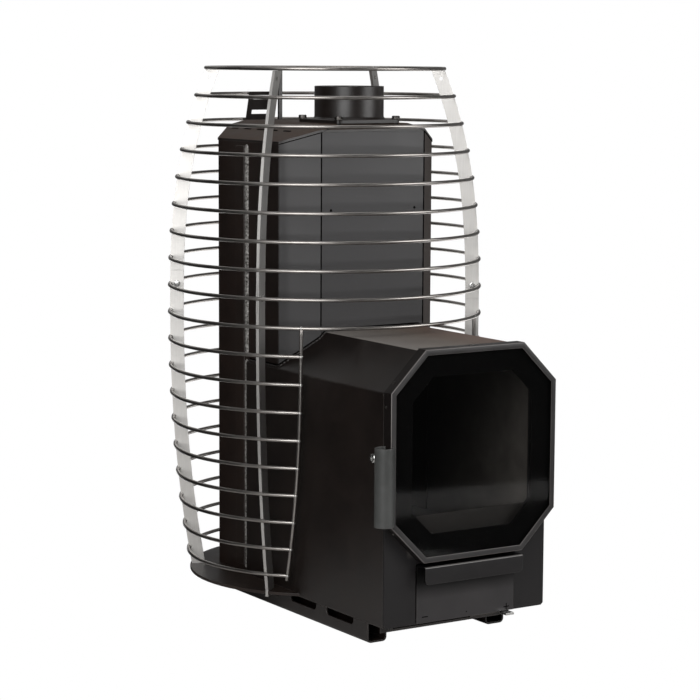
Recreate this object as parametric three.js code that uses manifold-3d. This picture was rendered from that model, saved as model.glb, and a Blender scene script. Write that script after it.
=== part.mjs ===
// Wood-burning sauna stove: a steel tower in a wire stone cage, with a fire tunnel and a glass door.
// Millimetres, +Z up, the door faces -Y. Pieces are built round the tower's axis, then centred in depth.
import * as THREE from 'three';
import { mergeVertices } from 'three/addons/utils/BufferGeometryUtils.js';
import Module from 'manifold-3d';

const wasm = await Module();
wasm.setup();

// Driving dimensions
const fitGap = 0.3; // between pieces that touch
const past = 1; // how far a cutting tool passes a face

const skidHeight = 33;
const skidWidth = 36;
const skidSheet = 3;
const skidBend = 7; // outer bend radius
const skidFront = 376; // ahead of the tower's axis
const skidRear = 165;
const skidRight = 91; // centre line
const skidSlot = { length: 80, pitch: 111, depth: 12, count: 4, first: 41, curve: 8 };

const basePlate = { radius: 230, thickness: 5 };

const tower = { half: 150, chamfer: 50, wall: 4, height: 737 }; // height to the side eaves, over the base
const seamStrip = { width: 27, raise: 1.5, offset: 25, bottom: 12, top: 7 };
const roof = { slope: 0.4, rise: 28, sheet: 4, overhang: 1 };

const flue = { diameter: 115, wall: 4, height: 54, forward: 75 };
const flange = { size: 125, thickness: 6, boltInset: 6.5 };
const flangeBolt = { shank: 8, head: 13, headHeight: 5.5 };

const tunnel = { wall: 3.2, chamfer: 63, height: 429, reach: 418 };
const frontPlate = { thickness: 4, cornerCut: 4, rim: 36, sill: 35 };

const drawerFront = { width: 187, height: 94, sheet: 3 };
const drawerBox = { width: 176, height: 77, length: 257, wall: 2 };
const drawerLip = { reach: 23, drop: 28, radius: 8 };
const drawerGap = 1.3; // round the drawer's front

const door = { overlap: 3, chamfer: 63, depth: 21.3, sheet: 3, lip: 9, lipSheet: 2, aboveDrawer: 6 };
const glass = { thickness: 4 };
const retainer = { thickness: 3, width: 40 };
const handle = { radius: 15.3, sheet: 2.5, length: 122, sweep: 310, fromEdge: 3, above: 2.7 };
const hinge = {
  offset: 5, behind: 10, knuckle: 6, pin: 3, head: 4.8, length: 20, armReach: 10,
  fromBottom: 12, fromTop: 9, // from the ends of the door's straight side
};
const catchBolt = { behind: 29, up: 263, shank: 8, head: 15, headHeight: 5 };

const hearth = { above: 3, thickness: 4 };
const grate = { width: 160, length: 220, thickness: 10, bar: 8, slots: 7, lap: 10, front: 70 };
const baffle = { above: 530, thickness: 6, smokeGap: 110 };

const damper = {
  length: 70, width: 27, thickness: 3.6, tab: 16, tabReach: 16, travel: 145, rest: 49, front: 3,
};
const damperRail = { lip: 3, bearing: 5, post: 5, play: 1 };

const wire = 6; // cage wire diameter
const cage = { rings: 19, openFrom: 11, first: 29, topRadius: 200.5, wideRadius: 263, bottomRadius: 232.8 };
const cageRise = 820; // lowest ring to top ring
const cageBulge = { above: 2.65, below: 2.25 }; // powers of the cage's curve over and under its widest ring
const opening = { half: 169, tail: 7 }; // the cage's gap round the tunnel
const ringSegments = 36;
const wireSides = 6;
const sides = { disc: 72, pipe: 40, pin: 16, hole: 12, hexagon: 6, bend: 4 }; // facets of round forms
const rib = {
  width: 23, thickness: 5, inset: 0.5, angles: [56, 122, 238, 304], lap: 45, tabWidth: 13, tabDrop: 5,
};
const ribHole = { radius: 3.2, below: 13 };
const ribBolt = { shank: 5.4, head: 10, headHeight: 3.5, ring: 9 };
const rearPlate = { width: 52, thickness: 2, firstRing: 2, lastRing: 4, slot: 7, slots: 4, margin: 10 };
const rearStay = { width: 7, depth: 5, offset: 26 };

// Levels and places worked out from the sizes above
const baseTop = skidHeight + basePlate.thickness;
const eave = skidHeight + tower.height;
const roofTop = eave + roof.rise;
const flangeBottom = roofTop + fitGap;
const flangeTop = flangeBottom + flange.thickness;
const tunnelHalf = tower.half + fitGap + tunnel.wall;
const skidLeft = -tunnelHalf + skidWidth / 2; // its outer wall is flush with the tunnel's
const tunnelTop = skidHeight + tunnel.height;
const plateFront = tunnel.reach + frontPlate.thickness;
const drawerTop = skidHeight + drawerFront.height;
const doorHalf = tunnelHalf + door.overlap;
const doorTop = tunnelTop + door.overlap;
const doorBottom = drawerTop + door.aboveDrawer;
const doorBack = plateFront + fitGap;
const doorFront = doorBack + door.depth;
const hearthBottom = drawerTop + hearth.above;
const hearthTop = hearthBottom + hearth.thickness;
const cageBottom = baseTop + cage.first;
const cageTop = cageBottom + cageRise;
const cageMiddle = cageBottom + cageRise / 2;
const ringPitch = cageRise / (cage.rings - 1);
const handleFront = doorFront + fitGap + handle.radius;
const centreY = (cage.wideRadius + wire / 2 - handleFront) / 2;

const blackPaint = { color: 0x221d1b, roughness: 0.7, metalness: 0.2 };
const stainless = { color: 0x98958f, roughness: 0.35, metalness: 0.9 };
const greySheet = { color: 0x4a4848, roughness: 0.5, metalness: 0.4 };
const zincPlate = { color: 0xc4c4c2, roughness: 0.3, metalness: 0.9 };
const blackGlass = { color: 0x0b0b0b, roughness: 0.08, metalness: 0 };
const castIron = { color: 0x2b2a29, roughness: 0.8, metalness: 0.3 };

// Solids from three.js geometry
function solid(geometry) {
  geometry.deleteAttribute('normal');
  geometry.deleteAttribute('uv');
  const merged = mergeVertices(geometry, 1e-4);
  return new wasm.Manifold(new wasm.Mesh({
    numProp: 3,
    vertProperties: new Float32Array(merged.attributes.position.array),
    triVerts: new Uint32Array(merged.index.array),
  }));
}

function box(x0, x1, y0, y1, z0, z1) {
  const geometry = new THREE.BoxGeometry(x1 - x0, y1 - y0, z1 - z0);
  return solid(geometry.translate((x0 + x1) / 2, (y0 + y1) / 2, (z0 + z1) / 2));
}

const axes = {
  x: [new THREE.Vector3(0, 1, 0), new THREE.Vector3(0, 0, 1), new THREE.Vector3(1, 0, 0)],
  y: [new THREE.Vector3(1, 0, 0), new THREE.Vector3(0, 0, 1), new THREE.Vector3(0, -1, 0)],
  z: [new THREE.Vector3(1, 0, 0), new THREE.Vector3(0, 1, 0), new THREE.Vector3(0, 0, 1)],
};

// an outline carried along an axis from one place to another: along x it is (Y, Z), y (X, Z), z (X, Y)
function slab(outline, axis, from, to, holes = []) {
  const shape = new THREE.Shape(outline.map(([u, v]) => new THREE.Vector2(u, v)));
  for (const hole of holes) {
    shape.holes.push(new THREE.Path(hole.map(([u, v]) => new THREE.Vector2(u, v))));
  }
  const geometry = new THREE.ExtrudeGeometry(shape, {
    depth: to - from, bevelEnabled: false, curveSegments: 1,
  });
  geometry.applyMatrix4(new THREE.Matrix4().makeBasis(...axes[axis]));
  const start = axis === 'y' ? to : from;
  const shift = axes[axis][2].clone().multiplyScalar(axis === 'y' ? -start : start);
  return solid(geometry.translate(shift.x, shift.y, shift.z));
}

function rod(radius, x, y, z0, z1, facets = sides.pin) {
  const geometry = new THREE.CylinderGeometry(radius, radius, z1 - z0, facets);
  return solid(geometry.rotateX(Math.PI / 2).translate(x, y, (z0 + z1) / 2));
}

function arc(u, v, radius, fromDegrees, toDegrees, steps) {
  return Array.from({ length: steps + 1 }, (_, i) => {
    const angle = THREE.MathUtils.degToRad(fromDegrees + (toDegrees - fromDegrees) * i / steps);
    return [u + radius * Math.cos(angle), v + radius * Math.sin(angle)];
  });
}

function octagon(halfU, v0, v1, chamfer) {
  return [
    [-halfU + chamfer, v0], [halfU - chamfer, v0], [halfU, v0 + chamfer], [halfU, v1 - chamfer],
    [halfU - chamfer, v1], [-halfU + chamfer, v1], [-halfU, v1 - chamfer], [-halfU, v0 + chamfer],
  ];
}

// an even inset of a 45 degree chamfered outline shortens its chamfer's leg by this share of the inset
const insetShare = 2 - Math.SQRT2;

const stove = new THREE.Group();
stove.position.y = -centreY;

function part(name, body, look, turn = 0) {
  const { vertProperties, triVerts } = body.getMesh();
  const geometry = new THREE.BufferGeometry();
  geometry.setAttribute('position', new THREE.BufferAttribute(vertProperties, 3));
  geometry.setIndex(new THREE.BufferAttribute(triVerts, 1));
  geometry.computeVertexNormals();
  const mesh = new THREE.Mesh(geometry, new THREE.MeshStandardMaterial(look));
  mesh.name = name;
  mesh.rotation.z = turn;
  stove.add(mesh);
}

// Cage curve
function cageRadius(z) {
  const share = (z - cageMiddle) / (cageRise / 2);
  const end = share > 0 ? cage.topRadius : cage.bottomRadius;
  const power = share > 0 ? cageBulge.above : cageBulge.below;
  return cage.wideRadius - (cage.wideRadius - end) * Math.abs(share) ** power;
}

const ringLevel = (number) => cageTop - (number - 1) * ringPitch;
const ribOuter = (z) => cageRadius(z) - rib.inset;
const ribMiddle = (z) => ribOuter(z) - rib.width / 2;

// Skids and base plate
function skid(centre) {
  const half = skidWidth / 2;
  const top = skidHeight - fitGap;
  const inner = skidBend - skidSheet;
  const outline = [
    [-half, top],
    ...arc(-half + skidBend, skidBend, skidBend, 180, 270, sides.bend),
    ...arc(half - skidBend, skidBend, skidBend, 270, 360, sides.bend),
    [half, top], [half - skidSheet, top],
    ...arc(half - skidBend, skidBend, inner, 360, 270, sides.bend),
    ...arc(-half + skidBend, skidBend, inner, 270, 180, sides.bend),
    [-half + skidSheet, top],
  ].map(([u, v]) => [u + centre, v]);
  let body = slab(outline, 'y', -skidFront, skidRear);
  for (let i = 0; i < skidSlot.count; i += 1) {
    const front = -skidFront + skidSlot.first + skidSlot.pitch * i;
    const floor = skidHeight - skidSlot.depth;
    const rear = front + skidSlot.length;
    const reach = half + past;
    const curve = skidSlot.curve;
    const mouth = [
      [front, skidHeight + past],
      ...arc(front + curve, floor + curve, curve, 180, 270, sides.bend),
      ...arc(rear - curve, floor + curve, curve, 270, 360, sides.bend),
      [rear, skidHeight + past],
    ];
    body = body.subtract(slab(mouth, 'x', centre - reach, centre + reach));
  }
  return body;
}

part('skid_left', skid(skidLeft), blackPaint);
part('skid_right', skid(skidRight), blackPaint);

const tabOuter = ribOuter(baseTop);
const tabInner = tabOuter - rib.tabWidth;
const radialTurn = (degrees) => THREE.MathUtils.degToRad(degrees - 90); // 0 degrees is the front, -Y

function basePlateSolid() {
  let body = rod(basePlate.radius, 0, 0, skidHeight, baseTop, sides.disc);
  for (const angle of rib.angles) {
    const half = rib.thickness / 2 + fitGap;
    const slot = box(
      tabInner - fitGap, basePlate.radius + past, -half, half, skidHeight - past, baseTop + past,
    );
    body = body.subtract(slot.rotate([0, 0, angle - 90]));
  }
  return body;
}

part('base_plate', basePlateSolid(), blackPaint);

// Tower, roof and tunnel
const towerOuter = octagon(tower.half, -tower.half, tower.half, tower.chamfer);
const towerInnerHalf = tower.half - tower.wall;
const towerInnerChamfer = tower.chamfer - tower.wall * insetShare;
const towerInner = octagon(towerInnerHalf, -towerInnerHalf, towerInnerHalf, towerInnerChamfer);
const sideEnd = -towerInnerHalf + towerInnerChamfer; // where the side walls meet the front corners

function hip(half, drop) {
  const across = (low) => [
    [-half, 0], [half, 0], [half, low - drop], [half - (roofTop - low) / roof.slope, roofTop - drop],
    [-half + (roofTop - low) / roof.slope, roofTop - drop], [-half, low - drop],
  ];
  const sideLow = eave - (half - tower.half) * roof.slope;
  const endLow = sideLow + tower.chamfer * roof.slope;
  return slab(across(sideLow), 'y', -half, half).intersect(slab(across(endLow), 'x', -half, half));
}

const roofHalf = tower.half + roof.overhang;
const underRoof = hip(roofHalf, roof.sheet + fitGap);

function tunnelOutline(inset) {
  const half = tunnelHalf - inset;
  const top = tunnelTop - inset;
  const leg = tunnel.chamfer - inset * insetShare;
  return (bottom) => [
    [-half, bottom], [half, bottom], [half, top - leg],
    [half - leg, top], [-half + leg, top], [-half, top - leg],
  ];
}

const towerWalls = slab(towerOuter, 'z', baseTop + fitGap, roofTop, [towerInner]).intersect(underRoof);

function rearShell() {
  let body = towerWalls.subtract(box(-roofHalf, roofHalf, -roofHalf, sideEnd, 0, roofTop));
  for (const side of [-1, 1]) {
    const face = side * tower.half;
    const raised = face + side * seamStrip.raise;
    const middle = seamStrip.offset;
    const strip = box(
      Math.min(face - side, raised), Math.max(face - side, raised),
      middle - seamStrip.width / 2, middle + seamStrip.width / 2,
      baseTop + seamStrip.bottom, eave - roof.sheet - seamStrip.top,
    );
    body = body.add(strip);
  }
  return body;
}

function frontShell() {
  const front = towerWalls.subtract(box(-roofHalf, roofHalf, sideEnd - fitGap, roofHalf, 0, roofTop));
  return front.subtract(slab(tunnelOutline(-fitGap)(0), 'y', -tunnel.reach, 0));
}

const flueY = -flue.forward;
const boltReach = flange.size / 2 - flange.boltInset;
const flangeBoltPlaces = [[-1, -1], [1, -1], [1, 1], [-1, 1]].map(
  ([u, v]) => [u * boltReach, flueY + v * boltReach],
);

function drillFlangeBolts(body) {
  return flangeBoltPlaces.reduce(
    (left, [x, y]) => left.subtract(
      rod(flangeBolt.shank / 2 + fitGap, x, y, eave, flangeTop + past, sides.hole),
    ),
    body,
  );
}

function roofCap() {
  const plan = octagon(roofHalf, -roofHalf, roofHalf, tower.chamfer + roof.overhang * insetShare);
  const cap = slab(plan, 'z', eave - roof.sheet - roof.overhang, roofTop).intersect(hip(roofHalf, 0));
  const hollow = cap.subtract(hip(roofHalf + past, roof.sheet));
  const bore = rod(flue.diameter / 2 - flue.wall, 0, flueY, eave, roofTop + past, sides.pipe);
  return drillFlangeBolts(hollow.subtract(bore));
}

function flueCollar() {
  const half = flange.size / 2;
  const plate = box(-half, half, flueY - half, flueY + half, flangeBottom, flangeTop);
  const pipe = rod(flue.diameter / 2, 0, flueY, flangeBottom, flangeTop + flue.height, sides.pipe);
  const top = flangeTop + flue.height + past;
  const bore = rod(flue.diameter / 2 - flue.wall, 0, flueY, eave, top, sides.pipe);
  return drillFlangeBolts(plate.add(pipe).subtract(bore));
}

part('rear_shell', rearShell(), blackPaint);
part('front_shell', frontShell(), blackPaint);
part('roof_cap', roofCap(), blackPaint);
part('flue_collar', flueCollar(), blackPaint);
flangeBoltPlaces.forEach(([x, y], i) => {
  const seat = flangeTop + fitGap;
  const head = rod(flangeBolt.head / 2, x, y, seat, seat + flangeBolt.headHeight, sides.hexagon);
  const end = roofTop - roof.sheet - flange.thickness;
  const shank = rod(flangeBolt.shank / 2, x, y, end, seat + past, sides.hole);
  part(`flange_bolt_${i + 1}`, head.add(shank), zincPlate);
});

// Hinge and damper places on the tunnel
const hingeX = doorHalf + hinge.offset;
const hingeY = -plateFront + hinge.behind;
const hingeLevels = [
  doorBottom + door.chamfer + hinge.fromBottom,
  doorTop - door.chamfer - hinge.fromTop - 2 * hinge.length,
];
const catchY = -plateFront + catchBolt.behind;
const catchZ = skidHeight + catchBolt.up;
const catchEnd = -tunnelHalf + tunnel.wall + past;
const damperTop = skidHeight - fitGap;
const damperBottom = damperTop - damper.thickness;
const damperFrontY = -tunnel.reach + damper.front;
const damperRearY = damperFrontY + damper.width;
const damperX = [damper.rest - damper.length / 2, damper.rest + damper.length / 2];

function sideRod(radius, y, z, x0, x1, facets) {
  return rod(radius, 0, 0, x0, x1, facets).rotate([0, 90, 0]).translate([0, y, z]);
}

function tunnelShell() {
  const outer = slab(tunnelOutline(0)(skidHeight), 'y', -tunnel.reach + fitGap, 0);
  const inner = slab(tunnelOutline(tunnel.wall)(baseTop), 'y', -tunnel.reach, past);
  const clear = tower.half + fitGap;
  const plan = octagon(clear, -clear, clear, tower.chamfer + fitGap * insetShare);
  const room = slab(plan, 'z', baseTop, roofTop);
  const disc = rod(basePlate.radius + fitGap, 0, 0, skidHeight - past, baseTop + fitGap, sides.disc);
  let body = outer.subtract(inner).subtract(room).subtract(disc);
  for (const level of hingeLevels) {
    const top = level + hinge.length;
    const web = box(tunnelHalf - past, hingeX, hingeY - hinge.pin, hingeY + hinge.pin, level, top);
    const knuckle = rod(hinge.knuckle, hingeX, hingeY, level, top);
    const bore = rod(hinge.pin + fitGap, hingeX, hingeY, level - past, top + past);
    body = body.add(web).add(knuckle).subtract(bore);
  }
  const bore = catchBolt.shank / 2 + fitGap;
  body = body.subtract(sideRod(bore, catchY, catchZ, -tunnelHalf - past, catchEnd, sides.hole));
  return body.add(damperRails()).subtract(airInlet());
}

// two rails under the tunnel's floor that carry the damper slide, and the air inlet that it covers
function damperRails() {
  const left = damperX[0] - damper.travel - damperRail.play - damperRail.post;
  const right = damperX[1] + damperRail.play + damperRail.post;
  const lipTop = damperBottom - fitGap;
  const lipBottom = lipTop - damperRail.lip;
  const joined = skidHeight + past;
  const frontLip = box(left, right, damperFrontY, damperFrontY + damperRail.bearing, lipBottom, lipTop);
  const posts = [left, right - damperRail.post].map((x) => (
    box(x, x + damperRail.post, damperFrontY, damperFrontY + damperRail.bearing, lipBottom, joined)
  ));
  const webY = damperRearY + damperRail.play;
  const web = box(left, right, webY, webY + damperRail.lip, lipBottom, joined);
  const rearLip = box(
    left, right, damperRearY - damperRail.bearing, webY + damperRail.lip, lipBottom, lipTop,
  );
  return frontLip.add(posts[0]).add(posts[1]).add(web).add(rearLip);
}

function airInlet() {
  const margin = damperRail.bearing;
  const x0 = damperX[0] - damper.travel + margin;
  const x1 = damperX[1] - damper.travel - margin;
  return box(x0, x1, damperFrontY + margin, damperRearY - margin, skidHeight - fitGap, baseTop + past);
}

function damperSlide() {
  const plate = box(damperX[0], damperX[1], damperFrontY, damperRearY, damperBottom, damperTop);
  const tabEnd = -plateFront - damper.tabReach;
  const tab = box(
    damperX[1] - damper.tab, damperX[1], tabEnd, damperFrontY + past, damperBottom, damperTop,
  );
  return plate.add(tab);
}

function frontPlateSolid() {
  const cut = frontPlate.cornerCut;
  const notchHalf = drawerFront.width / 2 + drawerGap;
  const notchTop = drawerTop + drawerGap;
  const shoulders = tunnelOutline(0)(skidHeight + cut);
  const outline = [
    [-tunnelHalf + cut, skidHeight], [-notchHalf, skidHeight], [-notchHalf, notchTop], [notchHalf, notchTop],
    [notchHalf, skidHeight], [tunnelHalf - cut, skidHeight], ...shoulders.slice(1), shoulders[0],
  ];
  const rim = frontPlate.rim;
  const mouthHalf = doorHalf - rim;
  const mouthBottom = doorBottom + rim;
  const mouth = octagon(mouthHalf, mouthBottom, doorTop - rim, door.chamfer - rim * insetShare);
  const sill = box(
    -mouthHalf, mouthHalf, -plateFront, -tunnel.reach, mouthBottom - past, mouthBottom + frontPlate.sill,
  );
  return slab(outline, 'y', -plateFront, -tunnel.reach, [mouth]).add(sill);
}

part('tunnel_shell', tunnelShell(), blackPaint);
part('front_plate', frontPlateSolid(), blackPaint);
part('damper_slide', damperSlide(), zincPlate);

function catchBoltSolid() {
  const seat = -tunnelHalf - fitGap;
  const shank = sideRod(catchBolt.shank / 2, catchY, catchZ, seat - past, catchEnd, sides.hole);
  const head = sideRod(catchBolt.head / 2, catchY, catchZ, seat - catchBolt.headHeight, seat, sides.pin);
  return shank.add(head);
}

part('catch_bolt', catchBoltSolid(), zincPlate);

// Inside the firebox
function hearthPlate() {
  const wide = tunnelHalf - tunnel.wall - fitGap;
  const slim = towerInnerHalf - fitGap;
  const step = sideEnd - fitGap;
  const leg = towerInnerChamfer - fitGap * insetShare;
  const front = -tunnel.reach + fitGap;
  const outline = [
    [-wide, front], [wide, front], [wide, step], [slim, step], [slim, slim - leg], [slim - leg, slim],
    [-slim + leg, slim], [-slim, slim - leg], [-slim, step], [-wide, step],
  ];
  const y0 = front + grate.front + grate.lap;
  const y1 = y0 + grate.length - 2 * grate.lap;
  const half = grate.width / 2 - grate.lap;
  const hole = [[-half, y0], [half, y0], [half, y1], [-half, y1]];
  return slab(outline, 'z', hearthBottom, hearthTop, [hole]);
}

function grateSolid() {
  const y0 = -tunnel.reach + fitGap + grate.front;
  const y1 = y0 + grate.length;
  const z0 = hearthTop + fitGap;
  const z1 = z0 + grate.thickness;
  const half = grate.width / 2;
  const room = grate.width - 2 * grate.lap;
  const gap = (room - (grate.slots - 1) * grate.bar) / grate.slots;
  let body = box(-half, half, y0, y1, z0, z1);
  for (let i = 0; i < grate.slots; i += 1) {
    const x = -room / 2 + i * (gap + grate.bar);
    body = body.subtract(box(x, x + gap, y0 + grate.lap, y1 - grate.lap, z0 - past, z1 + past));
  }
  return body;
}

function bafflePlate() {
  const slim = towerInnerHalf - fitGap;
  const leg = towerInnerChamfer - fitGap * insetShare;
  const front = -towerInnerHalf + baffle.smokeGap;
  const outline = [
    [-slim, front], [slim, front], [slim, slim - leg],
    [slim - leg, slim], [-slim + leg, slim], [-slim, slim - leg],
  ];
  const bottom = skidHeight + baffle.above;
  return slab(outline, 'z', bottom, bottom + baffle.thickness);
}

part('hearth_plate', hearthPlate(), blackPaint);
part('grate', grateSolid(), castIron);
part('baffle_plate', bafflePlate(), blackPaint);

// Ash drawer
function ashDrawer() {
  const half = drawerFront.width / 2;
  const sheet = drawerFront.sheet;
  const faceY = -plateFront - sheet / 2;
  const backY = faceY + sheet;
  const boxHalf = drawerBox.width / 2;
  const floor = baseTop + fitGap;
  const rim = floor + drawerBox.height;
  const wall = drawerBox.wall;
  const face = box(-half, half, faceY, backY, skidHeight + fitGap, drawerTop);
  const tray = box(-boxHalf, boxHalf, backY - past, backY + drawerBox.length, floor, rim);
  const room = box(
    -boxHalf + wall, boxHalf - wall, backY, backY + drawerBox.length - wall, floor + wall, rim + past,
  );
  const lipY = faceY - drawerLip.reach;
  const shelf = box(-half, half, lipY, backY, drawerTop - sheet, drawerTop);
  const low = drawerTop - drawerLip.drop;
  const curve = drawerLip.radius;
  const lip = slab([
    [-half, drawerTop],
    ...arc(-half + curve, low + curve, curve, 180, 270, sides.bend),
    ...arc(half - curve, low + curve, curve, 270, 360, sides.bend),
    [half, drawerTop],
  ], 'y', lipY, lipY + sheet);
  return face.add(tray).subtract(room).add(shelf).add(lip);
}

part('ash_drawer', ashDrawer(), blackPaint);

// Door
function doorOutline(inset) {
  return octagon(doorHalf - inset, doorBottom + inset, doorTop - inset, door.chamfer - inset * insetShare);
}

function doorFrame() {
  const wall = slab(doorOutline(0), 'y', -doorFront, -doorBack, [doorOutline(door.sheet)]);
  const lip = slab(doorOutline(0), 'y', -doorFront, -doorFront + door.lipSheet, [doorOutline(door.lip)]);
  let body = wall.add(lip);
  for (const level of hingeLevels) {
    const z0 = level + hinge.length + fitGap;
    const z1 = z0 + hinge.length;
    const armX = hingeX - hinge.knuckle;
    const arm = box(armX, armX + door.sheet + past, -doorBack - hinge.armReach, hingeY, z0, z1);
    const knuckle = rod(hinge.knuckle, hingeX, hingeY, z0, z1);
    const bore = rod(hinge.pin + fitGap, hingeX, hingeY, z0 - past, z1 + past);
    body = body.add(arm).add(knuckle).subtract(bore);
  }
  return body;
}

const glassInset = door.sheet + 2 * fitGap;
const glassFront = -doorFront + door.lipSheet + fitGap;
const retainerFront = glassFront + glass.thickness + fitGap;

part('door_frame', doorFrame(), greySheet);
part('door_glass', slab(doorOutline(glassInset), 'y', glassFront, glassFront + glass.thickness), blackGlass);
part('glass_retainer', slab(
  doorOutline(door.sheet + fitGap), 'y', retainerFront, retainerFront + retainer.thickness,
  [doorOutline(door.sheet + fitGap + retainer.width)],
), blackPaint);

function doorHandle() {
  const x = -doorHalf + handle.fromEdge - handle.radius;
  const y = -doorFront - fitGap;
  const steps = Math.round(handle.sweep / 10);
  const outline = [
    ...arc(x, y, handle.radius, 0, -handle.sweep, steps),
    ...arc(x, y, handle.radius - handle.sheet, -handle.sweep, 0, steps),
  ];
  const bottom = doorBottom + door.chamfer + handle.above;
  return slab(outline, 'z', bottom, bottom + handle.length);
}

part('door_handle', doorHandle(), greySheet);

['lower', 'upper'].forEach((place, i) => {
  const top = hingeLevels[i] + 2 * hinge.length + 2 * fitGap;
  const shank = rod(hinge.pin, hingeX, hingeY, hingeLevels[i] - past, top + past);
  const head = rod(hinge.head, hingeX, hingeY, top, top + hinge.pin);
  part(`hinge_pin_${place}`, shank.add(head), zincPlate);
});

// Stone cage
function ringTorus(number, radius) {
  const level = ringLevel(number);
  const torus = new THREE.TorusGeometry(cageRadius(level), radius, wireSides, ringSegments);
  return solid(torus).translate([0, 0, level]);
}

function ringSolid(number) {
  const ring = ringTorus(number, wire / 2);
  if (number < cage.openFrom) return ring;
  const level = ringLevel(number);
  const half = opening.half + wire / 2 + fitGap;
  return ring.subtract(box(-half, half, -cage.wideRadius - wire, 0, level - wire, level + wire));
}

for (let number = 1; number <= cage.rings; number += 1) {
  part(`ring_${String(number).padStart(2, '0')}`, ringSolid(number), stainless);
}

function openingWire(side) {
  const top = ringLevel(cage.openFrom - 1) - wire / 2 - fitGap;
  const bottom = cageBottom - opening.tail;
  const steps = cage.rings - cage.openFrom + 2;
  const points = Array.from({ length: steps + 1 }, (_, i) => {
    const z = top + (bottom - top) * i / steps;
    return new THREE.Vector3(side * opening.half, -Math.sqrt(cageRadius(z) ** 2 - opening.half ** 2), z);
  });
  const round = arc(0, 0, wire / 2, 0, 360, wireSides).slice(1);
  const section = new THREE.Shape(round.map(([u, v]) => new THREE.Vector2(u, v)));
  const path = new THREE.CatmullRomCurve3(points);
  return solid(new THREE.ExtrudeGeometry(section, { steps: 2 * steps, extrudePath: path }));
}

part('opening_wire_left', openingWire(-1), stainless);
part('opening_wire_right', openingWire(1), stainless);

const boltLevel = ringLevel(ribBolt.ring);
const lapTop = boltLevel + rib.lap / 2;
const lapBottom = boltLevel - rib.lap / 2;

// a rib's edge at every half ring pitch between two levels
function ribEdge(from, to, inset) {
  const steps = Math.max(2, Math.round(Math.abs(to - from) / ringPitch * 2));
  return Array.from({ length: steps + 1 }, (_, i) => {
    const z = from + (to - from) * i / steps;
    return [ribOuter(z) - inset, z];
  });
}

function ribBlade(bottom, top) {
  return [...ribEdge(bottom, top, 0), ...ribEdge(top, bottom, rib.width)];
}

function boltHole() {
  const hole = rod(ribBolt.shank / 2 + fitGap, 0, 0, -rib.thickness, rib.thickness, sides.hole);
  return hole.rotate([90, 0, 0]).translate([ribMiddle(boltLevel), 0, boltLevel]);
}

// the rings' wires lie in notches in the ribs' outer edges
function notched(blade, angle) {
  let body = blade;
  for (let number = 1; number <= cage.rings; number += 1) {
    body = body.subtract(ringTorus(number, wire / 2 + fitGap).rotate([0, 0, 90 - angle]));
  }
  return body;
}

function upperRib() {
  const half = rib.thickness / 2;
  const top = cageTop - wire / 2 - fitGap;
  const blade = slab(ribBlade(lapBottom, top), 'y', -half, half);
  const reach = cage.wideRadius;
  const lap = box(0, reach, -fitGap / 2, half + past, lapBottom - past, lapTop + fitGap);
  const holeLevel = top - ribHole.below;
  const hole = rod(ribHole.radius, 0, 0, -half - past, half + past, sides.hole)
    .rotate([90, 0, 0]).translate([ribMiddle(holeLevel), 0, holeLevel]);
  return blade.subtract(lap).subtract(hole).subtract(boltHole());
}

function lowerRib() {
  const half = rib.thickness / 2;
  const blade = slab(ribBlade(baseTop + fitGap, lapTop), 'y', -half, half);
  const lap = box(0, cage.wideRadius, -half - past, fitGap / 2, lapBottom - fitGap, lapTop + past);
  const tab = box(tabInner, tabOuter, -half, half, skidHeight - rib.tabDrop, baseTop + past);
  return blade.subtract(lap).subtract(boltHole()).add(tab);
}

function ribBoltSolid() {
  const half = rib.thickness / 2 + fitGap;
  const end = half + ribBolt.headHeight;
  const shank = rod(ribBolt.shank / 2, 0, 0, -end, end, sides.hole);
  const head = rod(ribBolt.head / 2, 0, 0, half, end, sides.hexagon);
  const nut = rod(ribBolt.head / 2, 0, 0, -end, -half, sides.hexagon);
  return shank.add(head).add(nut).rotate([90, 0, 0]).translate([ribMiddle(boltLevel), 0, boltLevel]);
}

rib.angles.forEach((angle, i) => {
  part(`rib_upper_${i + 1}`, notched(upperRib(), angle), stainless, radialTurn(angle));
  part(`rib_lower_${i + 1}`, notched(lowerRib(), angle), stainless, radialTurn(angle));
  part(`rib_bolt_${i + 1}`, ribBoltSolid(), zincPlate, radialTurn(angle));
});

// how far back a piece inside the faceted rings reaches where its edge is so far from the middle
function insideRings(z, edge) {
  const inner = cageRadius(z) * Math.cos(Math.PI / ringSegments) - wire / 2;
  return Math.sqrt(inner ** 2 - edge ** 2) - fitGap;
}

// a flat plate inside the rings at the rear, leaning with the cage, with plain slots
function rearPlateSolid() {
  const half = rearPlate.width / 2;
  const inner = (z) => insideRings(z, half);
  const top = ringLevel(rearPlate.firstRing) + wire / 2;
  const bottom = ringLevel(rearPlate.lastRing) - wire / 2;
  const sheet = rearPlate.thickness;
  const plate = slab([
    [inner(top) - sheet, top], [inner(bottom) - sheet, bottom], [inner(bottom), bottom], [inner(top), top],
  ].reverse(), 'x', -half, half);
  const room = top - bottom - 2 * rearPlate.margin;
  const pitch = room / (rearPlate.slots - 1);
  return Array.from({ length: rearPlate.slots }, (_, i) => {
    const middle = bottom + rearPlate.margin + pitch * i;
    const reach = half - rearPlate.margin;
    return box(-reach, reach, 0, cage.wideRadius, middle - rearPlate.slot / 2, middle + rearPlate.slot / 2);
  }).reduce((body, slot) => body.subtract(slot), plate);
}

function rearStaySolid() {
  const x0 = rearStay.offset - rearStay.width / 2;
  const x1 = rearStay.offset + rearStay.width / 2;
  const outerY = insideRings(cageTop, x1);
  return box(x0, x1, outerY - rearStay.depth, outerY, baseTop + fitGap, cageTop);
}

part('rear_plate', rearPlateSolid(), blackPaint);
part('rear_stay', rearStaySolid(), stainless);

export default stove;
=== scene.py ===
import math

import bmesh
import bpy
import numpy as np
from mathutils import Matrix, Vector


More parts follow.
